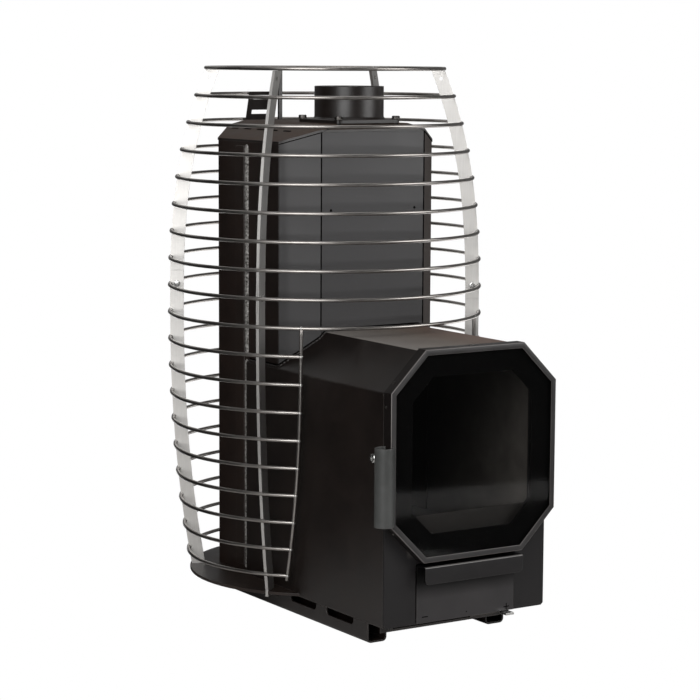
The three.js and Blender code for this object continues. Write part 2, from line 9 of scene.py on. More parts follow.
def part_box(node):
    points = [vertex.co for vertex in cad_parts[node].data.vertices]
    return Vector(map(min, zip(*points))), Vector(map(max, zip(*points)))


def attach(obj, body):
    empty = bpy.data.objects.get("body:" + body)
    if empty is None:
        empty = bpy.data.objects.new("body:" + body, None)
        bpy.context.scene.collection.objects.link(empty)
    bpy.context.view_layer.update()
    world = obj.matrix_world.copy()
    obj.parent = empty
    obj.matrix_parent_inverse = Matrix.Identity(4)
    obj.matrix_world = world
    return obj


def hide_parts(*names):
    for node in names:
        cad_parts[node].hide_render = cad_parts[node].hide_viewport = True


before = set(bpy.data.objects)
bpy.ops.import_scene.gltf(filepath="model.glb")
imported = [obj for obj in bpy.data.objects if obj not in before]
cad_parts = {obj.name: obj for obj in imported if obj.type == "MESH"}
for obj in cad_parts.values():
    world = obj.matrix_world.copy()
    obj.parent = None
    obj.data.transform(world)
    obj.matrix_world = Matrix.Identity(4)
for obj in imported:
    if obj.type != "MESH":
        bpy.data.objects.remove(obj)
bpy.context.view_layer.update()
print("frame loaded with", len(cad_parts), "nodes")

mm = 0.001
baseLow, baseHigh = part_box("base_plate")
cageAxis = np.array([0.0, (baseLow.y + baseHigh.y) / 2, 0.0])  # the round base plate is centred on it


def placed(points):
    return np.asarray(points, float) * mm + cageAxis  # from millimetres round the cage's axis to the frame


# camera, matched to the photograph
photoView = dict(place=(-2048.27, -3284.01, 911.63), yaw=0.569032, pitch=0.129067, roll=0.004979,
                 focalPixels=2285.04, imagePixels=700, sensor=36.0)


def addCamera(view):
    yaw, pitch, roll = view["yaw"], view["pitch"], view["roll"]
    ahead = Vector((math.sin(yaw) * math.cos(pitch), math.cos(yaw) * math.cos(pitch), -math.sin(pitch)))
    right = Vector((math.cos(yaw), -math.sin(yaw), 0))
    up = right.cross(ahead)
    rolledRight = right * math.cos(roll) + up * math.sin(roll)
    rolledUp = up * math.cos(roll) - right * math.sin(roll)
    turn = Matrix((rolledRight, rolledUp, -ahead)).transposed().to_4x4()
    lens = bpy.data.cameras.new("photoCamera")
    lens.sensor_width = view["sensor"]
    lens.lens = view["sensor"] * view["focalPixels"] / view["imagePixels"]
    lens.clip_end = 100
    camera = bpy.data.objects.new("photoCamera", lens)
    bpy.context.scene.collection.objects.link(camera)
    camera.matrix_world = Matrix.Translation(Vector(placed(view["place"]))) @ turn
    bpy.context.scene.camera = camera


addCamera(photoView)


# colours and nodes
def linear(hexText):
    shares = [int(hexText[i:i + 2], 16) / 255 for i in (1, 3, 5)]
    return [s / 12.92 if s <= 0.04045 else ((s + 0.055) / 1.055) ** 2.4 for s in shares] + [1.0]


def addNode(tree, kind, links=None, values=None, **settings):
    node = tree.nodes.new(kind)
    for name, value in settings.items():
        setattr(node, name, value)
    for socket, value in (values or {}).items():
        node.inputs[socket].default_value = value
    for socket, source in (links or {}).items():
        tree.links.new(source, node.inputs[socket])
    return node


def newMaterial(name, **values):
    material = bpy.data.materials.new(name)
    material.use_nodes = True
    tree = material.node_tree
    shader = tree.nodes["Principled BSDF"]
    for socket, value in values.items():
        shader.inputs[socket.replace("_", " ")].default_value = value
    return material, tree, shader


def setRamp(node, *stops):
    ramp = node.color_ramp
    while len(ramp.elements) < len(stops):
        ramp.elements.new(0.5)
    for element, (place, colour) in zip(ramp.elements, stops):
        element.position = place
        element.color = linear(colour)


def linkFinish(tree, shader, colour, gloss, bump=None):
    tree.links.new(colour, shader.inputs["Base Color"])
    tree.links.new(gloss.outputs["Result"], shader.inputs["Roughness"])
    if bump:
        tree.links.new(bump.outputs["Normal"], shader.inputs["Normal"])


# Heat-resistant silicone paint, sprayed on sheet steel: a black film with a brown cast that is cloudy over
# some 70 mm, a fine orange peel, and small rubbed spots. Its gloss turns it grey where it faces a light.
def heatPaint(name, dark, light, rough, peel=0.10, cloud=70, rub="#4a423e", rubShare=0.0, edge=0.25,
              shine=0.5):
    material, tree, shader = newMaterial(name, Specular_IOR_Level=shine)
    place = addNode(tree, "ShaderNodeTexCoord")
    clouds = addNode(tree, "ShaderNodeTexNoise", {"Vector": place.outputs["Object"]},
                     {"Scale": 1 / (cloud * mm), "Detail": 5.0, "Roughness": 0.62, "Distortion": 0.4})
    tint = addNode(tree, "ShaderNodeValToRGB", {"Fac": clouds.outputs["Fac"]})
    setRamp(tint, (0.30, dark), (0.72, light))
    spots = addNode(tree, "ShaderNodeTexNoise", {"Vector": place.outputs["Object"]},
                    {"Scale": 1 / (9 * mm), "Detail": 3.0, "Roughness": 0.7})
    worn = addNode(tree, "ShaderNodeMapRange", {"Value": spots.outputs["Fac"]},
                   {"From Min": 0.62, "From Max": 0.80, "To Min": 0.0, "To Max": rubShare})
    film = addNode(tree, "ShaderNodeMix", {"Factor": worn.outputs["Result"], "A": tint.outputs["Color"]},
                   data_type="RGBA")
    film.inputs["B"].default_value = linear(rub)
    # edges, where the normal turns within 1.5 mm, are rubbed thinner
    turned = addNode(tree, "ShaderNodeBevel", None, {"Radius": 1.5 * mm}, samples=4)
    facing = addNode(tree, "ShaderNodeNewGeometry")
    same = addNode(tree, "ShaderNodeVectorMath", {0: turned.outputs["Normal"], 1: facing.outputs["Normal"]},
                   operation="DOT_PRODUCT")
    rubbed = addNode(tree, "ShaderNodeMapRange", {"Value": same.outputs["Value"]},
                     {"From Min": 0.985, "From Max": 0.85, "To Min": 0.0, "To Max": edge})
    edged = addNode(tree, "ShaderNodeMix", {"Factor": rubbed.outputs["Result"], "A": film.outputs["Result"]},
                    data_type="RGBA")
    edged.inputs["B"].default_value = linear("#6b6765")
    # the peel is about 0.5 mm wide, drawn coarser so that it shows
    peelNoise = addNode(tree, "ShaderNodeTexNoise", {"Vector": place.outputs["Object"]},
                        {"Scale": 1 / (2.2 * mm), "Detail": 2.0, "Roughness": 0.5})
    gloss = addNode(tree, "ShaderNodeMapRange", {"Value": clouds.outputs["Fac"]},
                    {"From Min": 0.25, "From Max": 0.75, "To Min": rough - 0.05, "To Max": rough + 0.05})
    bump = addNode(tree, "ShaderNodeBump", {"Height": peelNoise.outputs["Fac"]},
                   {"Strength": peel, "Distance": 0.3 * mm})
    linkFinish(tree, shader, edged.outputs["Result"], gloss, bump)
    return material


# Stainless or zinc-plated steel: a grey metal whose roughness runs in lines along the way it was drawn or
# brushed. The lines' spacing is in millimetres along x, y and z, or along a wire and round it with useUv.
def metalGrain(name, dark, light, rough, spread, grain, useUv=False, depth=0.05):
    material, tree, shader = newMaterial(name, Metallic=1.0)
    place = addNode(tree, "ShaderNodeTexCoord")
    stretch = addNode(tree, "ShaderNodeMapping", {"Vector": place.outputs["UV" if useUv else "Object"]})
    stretch.inputs["Scale"].default_value = [1 / (g * mm) for g in grain]
    lines = addNode(tree, "ShaderNodeTexNoise", {"Vector": stretch.outputs["Vector"]},
                    {"Scale": 1.0, "Detail": 4.0, "Roughness": 0.65})
    tint = addNode(tree, "ShaderNodeValToRGB", {"Fac": lines.outputs["Fac"]})
    setRamp(tint, (0.28, dark), (0.70, light))
    gloss = addNode(tree, "ShaderNodeMapRange", {"Value": lines.outputs["Fac"]},
                    {"From Min": 0.25, "From Max": 0.75, "To Min": rough - spread, "To Max": rough + spread})
    bump = addNode(tree, "ShaderNodeBump", {"Height": lines.outputs["Fac"]},
                   {"Strength": depth, "Distance": 0.1 * mm})
    linkFinish(tree, shader, tint.outputs["Color"], gloss, bump)
    return material


# Ceramic stove glass: nearly black from the front, with a polished face; the fire room shows faintly through.
def stoveGlass():
    material, tree, shader = newMaterial("ceramicStoveGlass", Alpha=0.30, IOR=1.52)
    place = addNode(tree, "ShaderNodeTexCoord")
    smear = addNode(tree, "ShaderNodeTexNoise", {"Vector": place.outputs["Object"]},
                    {"Scale": 1 / (40 * mm), "Detail": 4.0, "Roughness": 0.6})
    gloss = addNode(tree, "ShaderNodeMapRange", {"Value": smear.outputs["Fac"]},
                    {"From Min": 0.3, "From Max": 0.7, "To Min": 0.03, "To Max": 0.07})
    tint = addNode(tree, "ShaderNodeValToRGB", {"Fac": smear.outputs["Fac"]})
    setRamp(tint, (0.3, "#050505"), (0.7, "#080808"))
    linkFinish(tree, shader, tint.outputs["Color"], gloss)
    return material


# Weld metal left bare: grey, scaly every few millimetres, with dark scale in its valleys.
def weldMetal():
    material, tree, shader = newMaterial("bareWeldMetal", Metallic=0.55)
    place = addNode(tree, "ShaderNodeTexCoord")
    scale = addNode(tree, "ShaderNodeTexNoise", {"Vector": place.outputs["Object"]},
                    {"Scale": 1 / (5 * mm), "Detail": 5.0, "Roughness": 0.7})
    tint = addNode(tree, "ShaderNodeValToRGB", {"Fac": scale.outputs["Fac"]})
    setRamp(tint, (0.36, "#454340"), (0.48, "#a3a09c"), (0.62, "#dedcd8"))
    gloss = addNode(tree, "ShaderNodeMapRange", {"Value": scale.outputs["Fac"]},
                    {"From Min": 0.3, "From Max": 0.7, "To Min": 0.62, "To Max": 0.42})
    bump = addNode(tree, "ShaderNodeBump", {"Height": scale.outputs["Fac"]},
                   {"Strength": 0.5, "Distance": 0.5 * mm})
    linkFinish(tree, shader, tint.outputs["Color"], gloss, bump)
    return material


# A colour over a finish, for soot, dust and rust and for painted light and shade: along an axis, between two
# places, a share of a colour comes in.
def tinted(material, colour, *ways, shine=None):
    tree = material.node_tree
    shader = tree.nodes["Principled BSDF"]
    place = addNode(tree, "ShaderNodeTexCoord")
    parts = addNode(tree, "ShaderNodeSeparateXYZ", {"Vector": place.outputs["Object"]})
    for axis, start, end, share in ways:
        reach = addNode(tree, "ShaderNodeMapRange", {"Value": parts.outputs[axis]},
                        {"From Min": start, "From Max": end, "To Min": 0.0, "To Max": share})
        under = shader.inputs["Base Color"].links[0].from_socket
        mix = addNode(tree, "ShaderNodeMix", {"Factor": reach.outputs["Result"], "A": under},
                      data_type="RGBA")
        mix.inputs["B"].default_value = linear(colour)
        tree.links.new(mix.outputs["Result"], shader.inputs["Base Color"])
    if shine is not None:  # the finish loses its shine along the last way
        level = shader.inputs["Specular IOR Level"]
        gloss = addNode(tree, "ShaderNodeMapRange", {"Value": parts.outputs[axis]},
                        {"From Min": start, "From Max": end, "To Min": level.default_value, "To Max": shine})
        tree.links.new(gloss.outputs["Result"], level)
    return material


# where finishes and painted light and shade change, in metres: x from the middle, y from the cage's axis and
# z from the floor
finishAt = dict(seam=(0.0, -0.04), frontCorner=(0.101, 0.106), sill=(0.137, 0.150), sillRight=(0.108, 0.113),
                sillLeft=(-0.108, -0.113), shadowUnderLip=(0.070, 0.100), dust=(0.03, -0.09), rust=(0.0, 0.09),
                sootAndShadeInwards=(-0.36, -0.10), sootAndShadeUpwards=(0.20, 0.44), hingeSide=(0.12, 0.15))


def change(axis, where, share):
    start, end = finishAt[where]
    shift = cageAxis[1] if axis == "Y" else 0.0
    return axis, shift + start, shift + end, share


bodyPaint = heatPaint("blackHeatPaint", "#110c0a", "#1c1512", 0.37, rubShare=0.10, edge=0.45)
rearPaint = tinted(heatPaint("rearShellPaint", "#170f0c", "#241914", 0.37, rubShare=0.12, edge=0.45),
                   "#0c0807", change("Y", "seam", 0.4))  # darker ahead of the seam
# the front shell's paint is lighter than the body's: partly a grey film of its own, partly painted light on
# the tower's front
frontPaint = tinted(heatPaint("frontShellPaint", "#1c1a1b", "#282627", 0.42, cloud=110, rubShare=0.25,
                              rub="#3c3a3b"),
                    "#42362f", change("X", "frontCorner", 0.65))  # lighter and browner on its right corner
# the plate is lighter on its sill behind the glass, not on the corners beside it
platePaint = tinted(heatPaint("frontPlatePaint", "#131112", "#1c1a1b", 0.48, rubShare=0.08, shine=0.3),
                    "#4b4845", change("Z", "sill", 0.9))
platePaint = tinted(platePaint, "#171516", change("X", "sillRight", 1.0), change("X", "sillLeft", 1.0))
lipPaint = heatPaint("drawerLipPaint", "#121011", "#1a1819", 0.48, rubShare=0.08, shine=0.3)
# a painted highlight along the lip's top fold, partly rubbed paint
foldHighlightPaint = heatPaint("rubbedFoldHighlightPaint", "#4c4a49", "#605d5b", 0.38, cloud=20)
# the drawer's face, with a painted shadow under the lip: dark and dull there
drawerPaint = tinted(heatPaint("drawerFacePaint", "#201e1f", "#2a2728", 0.44, rubShare=0.08), "#030303",
                     change("Z", "shadowUnderLip", 0.95), shine=0.12)  # dark and dull under the lip
roofPaint = heatPaint("brownedRoofPaint", "#35281f", "#46362c", 0.6, cloud=45, rubShare=0.2, rub="#4f3e33",
                      shine=0.2)
basePaint = heatPaint("basePlatePaint", "#1e1613", "#2c211b", 0.46, cloud=45, rubShare=0.2, rub="#4a3a30",
                      shine=0.4)
doorPaint = heatPaint("doorGreyPaint", "#232121", "#2d2b2b", 0.42, cloud=40, edge=0.6, rub="#5e5856")
handlePaint = heatPaint("handleGreyPaint", "#3b3c3b", "#484948", 0.42, cloud=30, edge=0.5, rub="#6e6f6d")
boreSoot = heatPaint("sootedSteel", "#070707", "#0d0c0c", 0.8, cloud=30, shine=0.08)
# the tunnel's top is lighter than its walls, partly dust and partly a painted sheen; grey dust to the left, a
# rusty cast to the right
dustAndSheenPaint = tinted(heatPaint("dustAndSheenTopPaint", "#60564e", "#7a7067", 0.55, cloud=60, rubShare=0.3,
                             rub="#86786b", shine=0.3),
                   "#8b8885", change("X", "dust", 0.6))
dustAndSheenPaint = tinted(dustAndSheenPaint, "#6b4637", change("X", "rust", 0.5))
# bare fire room steel: grey near the door, darker further in and higher up, partly soot and partly painted
# shade where less light comes in through the door
fireboxSteel = tinted(heatPaint("fireRoomSteel", "#6a6560", "#88827c", 0.5, cloud=60, rubShare=0.3,
                                rub="#a09b95", edge=0.0),
                      "#0b0a0a", change("Y", "sootAndShadeInwards", 0.8), change("Z", "sootAndShadeUpwards", 0.45))
castGrate = heatPaint("castGrateIron", "#2a2827", "#3a3735", 0.6, peel=0.5, cloud=12)  # rough as cast
# black for cut marks, tabs and plug welds, and as painted shade in open joints and the joint's undercut
darkMarkAndShade = heatPaint("cutMarkAndShadeBlack", "#030303", "#060505", 0.9, cloud=10, edge=0.0, shine=0.03)
wireSteel = metalGrain("drawnStainlessWire", "#77726e", "#b6b2ae", 0.33, 0.08, (45, 0.9, 1), useUv=True)
ribSteel = metalGrain("brushedStainlessRib", "#bfbdba", "#d3d1ce", 0.45, 0.05, (0.35, 0.35, 40))
dullZinc = metalGrain("dulledZinc", "#3c3a38", "#6a6764", 0.36, 0.08, (3, 3, 3), depth=0.15)
zincSteel = metalGrain("brightZinc", "#a9a9a7", "#dcdcda", 0.26, 0.08, (3, 3, 3), depth=0.15)
glassBlack = stoveGlass()
weldGrey = weldMetal()
print("materials made:", len(bpy.data.materials))


# mesh tools
def fullTurn(sides):
    # even angles round a circle
    return np.arange(sides) / sides * 2 * np.pi


def signedPower(values, power):
    # a power that keeps the sign
    return np.sign(values) * np.abs(values) ** power


def gridQuads(rows, columns, closeRows=False, closeColumns=False):
    # four-sided faces between neighbours on a grid of points
    i, j = np.meshgrid(np.arange(rows if closeRows else rows - 1),
                       np.arange(columns if closeColumns else columns - 1), indexing="ij")
    nextI, nextJ = (i + 1) % rows, (j + 1) % columns
    quads = np.stack([i * columns + j, i * columns + nextJ, nextI * columns + nextJ, nextI * columns + j], -1)
    return quads.reshape(-1, 4)


def facedOut(points, faces):
    # a closed shell's faces point outwards when the sum of its faces' cone volumes is above 0
    volume = 0.0
    for face in faces:
        corners = points[np.asarray(face)]
        fans = np.cross(corners[1:-1] - corners[0], corners[2:] - corners[0])
        volume += float((fans @ corners[0]).sum())
    return faces if volume > 0 else [list(face)[::-1] for face in faces]


def joined(*shells):
    # several shells as one, each with its faces outwards
    points, faces, start = [], [], 0
    for shellPoints, shellFaces in shells:
        points.append(np.asarray(shellPoints, float))
        faces += [[int(i) + start for i in face] for face in facedOut(points[-1], list(shellFaces))]
        start += len(points[-1])
    return np.concatenate(points), faces


def makePiece(name, shell, material, body, replaces=(), sharp=32, bevel=0.0, uv=None):
    points, faces = shell
    mesh = bpy.data.meshes.new(name)
    mesh.from_pydata(placed(points).tolist(), [], [list(map(int, face)) for face in faces])
    if uv is not None:
        corners = np.empty(len(mesh.loops), int)
        mesh.loops.foreach_get("vertex_index", corners)
        mesh.uv_layers.new(name="along").uv.foreach_set("vector", uv[corners].astype(np.float32).ravel())
    finishPiece(name, mesh, [material], body, replaces, sharp, bevel)


def finishPiece(name, mesh, materials, body, replaces, sharp, bevel):
    mesh.validate()
    mesh.shade_smooth()
    mesh.set_sharp_from_angle(angle=math.radians(sharp))
    for material in materials:
        mesh.materials.append(material)
    piece = bpy.data.objects.new(name, mesh)
    bpy.context.scene.collection.objects.link(piece)
    if bevel:
        soften = piece.modifiers.new("edges", "BEVEL")
        soften.width = bevel * mm
        soften.segments = 2
        soften.limit_method = "ANGLE"
        soften.angle_limit = math.radians(sharp)
        soften.harden_normals = True
    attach(piece, body)
    if replaces:
        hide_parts(*replaces)


domeRows = ((0.28, 0.92), (0.48, 0.68), (0.56, 0.34))  # how far out and how large, as shares of the radius


def tubeShell(path, radius, across, sides=12, closed=False):
    # a circle of the radius carried along the path; its plane is set by the path's direction and by across
    path = np.asarray(path, float)
    if closed:
        along = np.roll(path, -1, 0) - np.roll(path, 1, 0)
    else:
        along = np.gradient(path, axis=0)
    along /= np.linalg.norm(along, axis=1, keepdims=True)
    side = np.cross(along, across)
    side /= np.linalg.norm(side, axis=1, keepdims=True)
    other = np.cross(side, along)
    turn = fullTurn(sides)
    ring = np.cos(turn)[None, :, None] * side[:, None] + np.sin(turn)[None, :, None] * other[:, None]
    points = path[:, None] + np.reshape(radius, (-1, 1, 1)) * ring
    if closed:
        return points.reshape(-1, 3), gridQuads(len(path), sides, True, True)
    # each open end is a low dome: smaller circles, then a flat
    ends = []
    for index, way in ((0, -1), (-1, 1)):
        end = np.ravel(radius)[index]
        domes = [path[index] + way * along[index] * end * out + end * size * ring[index]
                 for out, size in domeRows]
        ends.append(domes[::-1] if way < 0 else domes)
    return cappedShell(np.concatenate([np.array(ends[0]), points, np.array(ends[1])]))


def revolvedShell(profile, sides, centre):
    # a closed (radius, height) profile turned round a vertical line
    profile = np.asarray(profile, float)
    turn = fullTurn(sides)
    points = np.stack([centre[0] + profile[:, :1] * np.cos(turn), centre[1] + profile[:, :1] * np.sin(turn),
                       np.repeat(profile[:, 1:], sides, 1)], -1)
    return points.reshape(-1, 3), gridQuads(len(profile), sides, True, True)


def cappedShell(rows):
    # rows of points round a body, with a face over the first row and the last
    rows = np.asarray(rows, float)
    count, sides = rows.shape[:2]
    faces = [list(q) for q in gridQuads(count, sides, False, True)]
    faces.append(list(range(sides)))
    faces.append(list(range((count - 1) * sides, count * sides))[::-1])
    return rows.reshape(-1, 3), faces


def boxShell(low, high):
    # the eight corners between a low corner and a high one
    x, y, z = zip(low, high)
    points = np.array([(a, b, c) for a in x for b in y for c in z], float)
    return points, [[0, 1, 3, 2], [4, 6, 7, 5], [0, 4, 5, 1], [2, 3, 7, 6], [0, 2, 6, 4], [1, 5, 7, 3]]


def sheetCopy(node, materials, body, bevel, sharp=32, inner=None, bend=0.0, folds=None):
    # the CAD node's own surface with its corners merged, its flat faces joined and its edges eased
    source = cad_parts[node].data
    corners = np.empty(len(source.vertices) * 3)
    source.vertices.foreach_get("co", corners)
    loops = np.empty(len(source.loops), int)
    source.loops.foreach_get("vertex_index", loops)
    mesh = bpy.data.meshes.new(node + "_sheet")
    mesh.from_pydata(corners.reshape(-1, 3).tolist(), [], loops.reshape(-1, 3).tolist())
    work = bmesh.new()
    work.from_mesh(mesh)
    bmesh.ops.remove_doubles(work, verts=work.verts, dist=3e-6)
    bmesh.ops.dissolve_limit(work, angle_limit=math.radians(0.4), verts=work.verts, edges=work.edges)
    if folds:
        chosen = [edge for edge in work.edges if folds(*[np.array(corner.co) for corner in edge.verts])]
        bmesh.ops.bevel(work, geom=chosen, offset=bend * mm, segments=6, profile=0.5, affect="EDGES")
    if inner:
        for face in work.faces:
            face.material_index = int(inner(np.array(face.calc_center_median()), np.array(face.normal)))
    work.to_mesh(mesh)
    work.free()
    finishPiece(node + "_sheet", mesh, materials, body, (node,), sharp, bevel)


# stone cage: the same curve as the CAD rings
cage = dict(rings=19, openFrom=11, top=887.0, bottom=67.0, topRadius=200.5, wideRadius=263.0,
            bottomRadius=232.8, powerAbove=2.65, powerBelow=2.25, wire=6.0, openingHalf=169.0, tail=7.0,
            ribs=(56, 122, 238, 304))  # the ribs' places, in degrees round from the door


def cageRadius(z):
    # the widest radius, less a part that grows as a power of the height from the middle
    half = (cage["top"] - cage["bottom"]) / 2
    share = (np.asarray(z, float) - cage["bottom"] - half) / half
    end = np.where(share > 0, cage["topRadius"], cage["bottomRadius"])
    power = np.where(share > 0, cage["powerAbove"], cage["powerBelow"])
    return cage["wideRadius"] - (cage["wideRadius"] - end) * np.abs(share) ** power


def ringLevel(number):
    return cage["top"] - (number - 1) * (cage["top"] - cage["bottom"]) / (cage["rings"] - 1)


def ribWays(degrees):
    # unit vectors at a rib, out from the axis and along the ring
    turn = math.radians(degrees)
    return np.array([math.sin(turn), -math.cos(turn), 0.0]), np.array([math.cos(turn), math.sin(turn), 0.0])


def wireMap(path, sides, closed):
    # u is the way along the wire and v the way round it, in metres; both run out and back, so no seam shows
    ends = 0 if closed else len(domeRows)
    count = len(path) + 2 * ends
    length = np.linalg.norm(np.diff(path, axis=0), axis=1).sum() * mm
    row = np.arange(count)[:, None] / count
    column = np.arange(sides)[None] / sides
    u = (1 - np.abs(2 * row - 1)) / 2 * length if closed else row * length
    v = (1 - np.abs(2 * column - 1)) * cage["wire"] * mm
    return np.stack([np.broadcast_to(way, (count, sides)) for way in (u, v)], -1).reshape(-1, 2)


def ringPath(number, steps=144):
    # a level circle; the rings beside the tunnel stop at the wires along the opening
    level = ringLevel(number)
    radius = float(cageRadius(level))
    whole = number < cage["openFrom"]
    stop = 0.0 if whole else math.asin((cage["openingHalf"] + 1) / radius)
    turn = np.linspace(stop, 2 * np.pi - stop, steps, endpoint=not whole)
    return np.stack([radius * np.sin(turn), -radius * np.cos(turn), np.full(steps, level)], 1), whole


wireSides = 12
for number in range(1, cage["rings"] + 1):
    path, whole = ringPath(number)
    shell = tubeShell(path, cage["wire"] / 2, (0, 0, 1), wireSides, whole)
    makePiece(f"ring_{number:02d}_wire", joined(shell), wireSteel, "stove",
              (f"ring_{number:02d}",), sharp=60, uv=wireMap(path, wireSides, whole))


def openingPath(side, steps=64):
    # the meeting of the cage's curved surface with the plane beside the tunnel
    z = np.linspace(ringLevel(cage["openFrom"] - 1) - cage["wire"] / 2, cage["bottom"] - cage["tail"], steps)
    y = -np.sqrt(cageRadius(z) ** 2 - cage["openingHalf"] ** 2)
    return np.stack([np.full(steps, side * cage["openingHalf"]), y, z], 1)


for sideName, side in (("left", -1), ("right", 1)):
    path = openingPath(side)
    shell = tubeShell(path, cage["wire"] / 2, (1, 0, 0), wireSides)
    makePiece(f"opening_wire_{sideName}_round", joined(shell), wireSteel, "stove",
              (f"opening_wire_{sideName}",), sharp=60, uv=wireMap(path, wireSides, False))

for half in ("upper", "lower"):
    for number in range(1, 5):
        sheetCopy(f"rib_{half}_{number}", [ribSteel], "stove", 0.4)
sheetCopy("rear_stay", [bodyPaint], "stove", 0.4)


# weld beads where the ribs touch the rings, and where the wires meet at the opening
bead = dict(ribHalf=2.5, radius=1.9, stretch=1.6, endRadius=3.5)


def beadShell(centre, radius, stretch, sides=12):
    # an ellipsoid: circles of radius r cos(a) at the heights r stretch sin(a)
    turn = fullTurn(sides)
    lift = np.radians((-78, -50, -20, 20, 50, 78))
    return cappedShell([centre + radius * np.stack([np.cos(a) * np.cos(turn), np.cos(a) * np.sin(turn),
                                                    np.full(sides, stretch * np.sin(a))], 1) for a in lift])


beads = []
for number in range(1, cage["rings"] + 1):
    level = ringLevel(number)
    reach = float(cageRadius(level)) - cage["wire"] / 2
    for degrees in cage["ribs"]:
        outward, tangent = ribWays(degrees)
        beads += [beadShell(reach * outward + way * bead["ribHalf"] * tangent + (0, 0, level), bead["radius"],
                            bead["stretch"]) for way in (-1, 1)]
    if number >= cage["openFrom"] - 1:
        y = -math.sqrt(float(cageRadius(level)) ** 2 - cage["openingHalf"] ** 2)
        beads += [beadShell(np.array([side * cage["openingHalf"], y, level]), bead["endRadius"], 1.0)
                  for side in (-1, 1)]
makePiece("cage_weld_beads", joined(*beads), ribSteel, "stove", sharp=60)
print("cage made")


# bolts: a hexagon head with a turned top on a washer
ribBolt = dict(ring=9, fromOuter=12.0, ribHalf=2.8, flats=8.6, height=3.6, washer=5.6, washerHeight=0.8)
flangeBolt = dict(reach=56.0, forward=75.0, seat=804.6, flats=11.4, height=4.4, washer=7.6, washerHeight=1.0)
catchBolt = dict(x=-153.8, y=-393.0, z=296.0, radius=7.5, height=5.0, socket=3.0, socketDepth=2.6)


def hexHead(centre, out, flats, height, washer, washerHeight, sides=48):
    # rows of points up the head: a washer's edge, the hexagon r = flats / 2 / cos(angle from a flat's middle)
    # and its turned top
    out = np.asarray(out, float)
    side = np.cross(out, (0.0, 0.0, 1.0)) if abs(out[2]) < 0.9 else np.array([1.0, 0.0, 0.0])
    side /= np.linalg.norm(side)
    other = np.cross(out, side)
    turn = fullTurn(sides)
    hexagon = flats / 2 / np.cos((turn + np.pi / 6) % (np.pi / 3) - np.pi / 6)
    circle = np.full(sides, flats / 2)
    plate = np.full(sides, washer)
    top = washerHeight + height
    rows = [(plate, 0.0), (plate, washerHeight - 0.3), (plate - 0.3, washerHeight), (hexagon, washerHeight),
            (hexagon, top - 0.9), (np.minimum(hexagon, flats / 2 * 1.02), top - 0.15), (circle * 0.93, top),
            (circle * 0.55, top), (circle * 0.5, top - 0.5)]
    ring = np.cos(turn)[:, None] * side + np.sin(turn)[:, None] * other
    return cappedShell([np.asarray(centre) + r[:, None] * ring + up * out for r, up in rows])


for i, (u, v) in enumerate(((-1, -1), (1, -1), (1, 1), (-1, 1))):
    reach = flangeBolt["reach"]
    centre = (u * reach, v * reach - flangeBolt["forward"], flangeBolt["seat"])
    head = hexHead(centre, (0, 0, 1), flangeBolt["flats"], flangeBolt["height"],
                   flangeBolt["washer"], flangeBolt["washerHeight"])
    makePiece(f"flange_bolt_{i + 1}_head", joined(head), dullZinc, "stove",
              (f"flange_bolt_{i + 1}",), sharp=25)

for i, degrees in enumerate(cage["ribs"]):
    level = ringLevel(ribBolt["ring"])
    radius = float(cageRadius(level)) - ribBolt["fromOuter"]
    outward, tangent = ribWays(degrees)
    middle = outward * radius + np.array([0.0, 0.0, level])
    heads = [hexHead(middle + way * tangent * ribBolt["ribHalf"], way * tangent, ribBolt["flats"],
                     ribBolt["height"], ribBolt["washer"], ribBolt["washerHeight"]) for way in (-1, 1)]
    makePiece(f"rib_bolt_{i + 1}_head", joined(*heads), zincSteel, "stove", (f"rib_bolt_{i + 1}",),
              sharp=25)


def buttonHead(spec, sides=48):
    # a low round head turned about x, with a hexagon socket sunk in it
    turn = fullTurn(sides)
    hexagon = spec["socket"] / np.cos((turn + np.pi / 6) % (np.pi / 3) - np.pi / 6)
    full = np.full(sides, spec["radius"])
    high = spec["height"]
    rows = [(full, 0.0), (full, high * 0.45), (full * 0.96, high * 0.72), (full * 0.82, high * 0.93),
            (full * 0.66, high), (hexagon * 1.06, high), (hexagon, high - 0.3),
            (hexagon, high - spec["socketDepth"])]
    return cappedShell([np.stack([np.full(sides, spec["x"] - up), spec["y"] + r * np.cos(turn),
                                  spec["z"] + r * np.sin(turn)], -1) for r, up in rows])


makePiece("catch_bolt_head", joined(buttonHead(catchBolt)), zincSteel, "stove", ("catch_bolt",),
          sharp=28)
print("bolts made")


# flue collar: a turned pipe with a weld fillet on a square flange
flue = dict(centre=(0.0, -75.0), outer=57.5, inner=53.5, bottom=798.3, flangeTop=804.3, top=858.3,
            flangeHalf=62.5, cornerPower=16)


